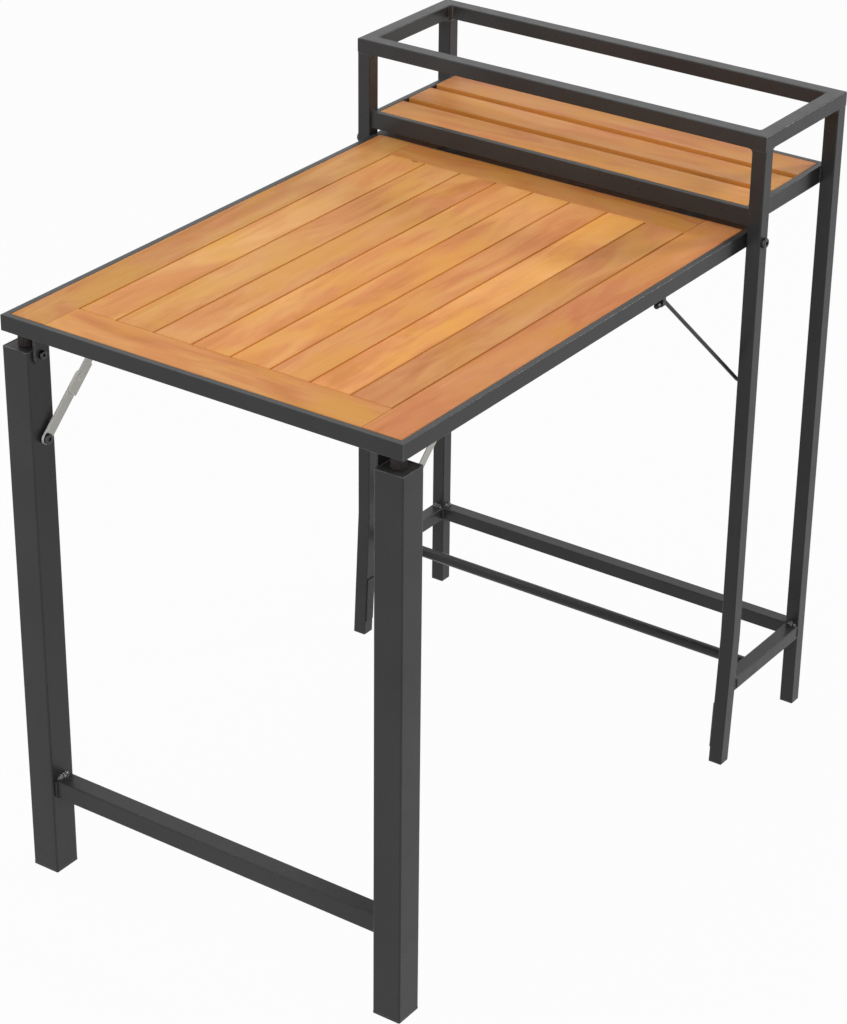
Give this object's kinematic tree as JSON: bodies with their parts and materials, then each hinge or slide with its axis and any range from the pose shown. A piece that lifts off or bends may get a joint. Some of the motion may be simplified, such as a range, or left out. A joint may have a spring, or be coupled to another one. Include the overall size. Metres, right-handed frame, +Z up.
{
  "type": "folding balcony table with plant rack",
  "caption": "Slatted wooden table on folding front legs, hinged to a narrow metal rack with a shelf; the top folds down flat into the rack.",
  "frame": {"origin": "on the floor, at the middle of the overall width and depth of the open table", "axes": "+Y from the tabletop's front edge to the rack's back, +Z up, +X to the right seen from the front"},
  "size_m": [0.609, 0.909, 0.872],
  "materials": {
    "coated_steel": "satin anthracite powder coat",
    "zinc_steel": "bright zinc plate",
    "bolt_steel": "blackened bolt",
    "screw_steel": "zinc-plated screw",
    "black_plastic": "moulded, matt",
    "buffer_rubber": "ribbed, matt",
    "wood": "oiled hardwood, satin"
  },
  "bodies": {
    "rack": {"upright_front_right": "coated_steel", "upright_front_left": "coated_steel", "upright_rear_right": "coated_steel", "upright_rear_left": "coated_steel", "rack_top_front": "coated_steel", "rack_top_rear": "coated_steel", "rack_top_left": "coated_steel", "rack_top_right": "coated_steel", "stretcher_right": "coated_steel", "stretcher_left": "coated_steel", "stretcher_rear": "coated_steel", "stop_bar": "coated_steel", "guide_pads": "black_plastic", "rack_foot_caps": "black_plastic", "hinge_bolts": "bolt_steel", "hinge_collars": "bolt_steel", "rod_catches": "coated_steel", "shelf_rail_front": "coated_steel", "shelf_rail_rear": "coated_steel", "shelf_rail_left": "coated_steel", "shelf_rail_right": "coated_steel", "shelf_slat_front": "wood", "shelf_slat_middle": "wood", "shelf_slat_rear": "wood", "shelf_straps": "coated_steel", "shelf_screws": "screw_steel"},
    "tabletop": {"table_rail_front": "coated_steel", "table_rail_rear": "coated_steel", "table_rail_left": "coated_steel", "table_rail_right": "coated_steel", "frame_board_front": "wood", "frame_board_rear": "wood", "frame_board_right": "wood", "frame_board_left": "wood", "slat_1": "wood", "slat_2": "wood", "slat_3": "wood", "slat_4": "wood", "slat_5": "wood", "slat_6": "wood", "slat_7": "wood", "slat_8": "wood", "table_straps": "coated_steel", "table_screws": "screw_steel", "leg_brackets": "coated_steel", "stay_lugs": "coated_steel", "rod_lugs": "coated_steel"},
    "front_legs": {"leg_right": "coated_steel", "leg_left": "coated_steel", "leg_cross_rail": "coated_steel", "leg_caps": "black_plastic", "leg_buffers": "buffer_rubber", "leg_pivot_bolts": "bolt_steel", "stay_bolts": "bolt_steel"},
    "stay_upper_right": {"stay_upper_right": "zinc_steel"},
    "stay_lower_right": {"stay_lower_right": "zinc_steel"},
    "brace_rod_right": {"brace_rod_right": "coated_steel"},
    "stay_upper_left": {"stay_upper_left": "zinc_steel"},
    "stay_lower_left": {"stay_lower_left": "zinc_steel"},
    "brace_rod_left": {"brace_rod_left": "coated_steel"}
  },
  "joints": [
    {"name": "top_fold", "type": "hinge", "parent": "rack", "child": "tabletop", "pos_m": [0, 0.264, 0.735], "axis": [1, 0, 0], "range_deg": [0, 87.5]},
    {"name": "leg_fold", "type": "hinge", "parent": "tabletop", "child": "front_legs", "pos_m": [0, -0.4345, 0.699], "axis": [1, 0, 0], "range_deg": [0, 89]},
    {"name": "rod_swing_right", "type": "hinge", "parent": "tabletop", "child": "brace_rod_right", "pos_m": [0.272, 0.0715, 0.7153], "axis": [0, 1, 0], "range_deg": [0, 88]},
    {"name": "stay_top_right", "type": "hinge", "parent": "tabletop", "child": "stay_upper_right", "pos_m": [0.2362, -0.3058, 0.716], "axis": [1, 0, 0], "range_deg": [0, 49.87]},
    {"name": "stay_foot_right", "type": "hinge", "parent": "front_legs", "child": "stay_lower_right", "pos_m": [0.2362, -0.4355, 0.594], "axis": [1, 0, 0], "range_deg": [-201.47, 0]},
    {"name": "rod_swing_left", "type": "hinge", "parent": "tabletop", "child": "brace_rod_left", "pos_m": [-0.272, 0.0715, 0.7153], "axis": [0, -1, 0], "range_deg": [0, 88]},
    {"name": "stay_top_left", "type": "hinge", "parent": "tabletop", "child": "stay_upper_left", "pos_m": [-0.2362, -0.3058, 0.716], "axis": [1, 0, 0], "range_deg": [0, 49.87]},
    {"name": "stay_foot_left", "type": "hinge", "parent": "front_legs", "child": "stay_lower_left", "pos_m": [-0.2362, -0.4355, 0.594], "axis": [1, 0, 0], "range_deg": [-201.47, 0]}
  ],
  "couplings": [
    {"joint": "rod_swing_right", "follows": "leg_fold", "ratio": 0.98872},
    {"joint": "stay_top_right", "follows": "leg_fold", "ratio": 0.56029},
    {"joint": "stay_foot_right", "follows": "leg_fold", "ratio": -2.2637},
    {"joint": "rod_swing_left", "follows": "leg_fold", "ratio": 0.98872},
    {"joint": "stay_top_left", "follows": "leg_fold", "ratio": 0.56029},
    {"joint": "stay_foot_left", "follows": "leg_fold", "ratio": -2.2637}
  ]
}
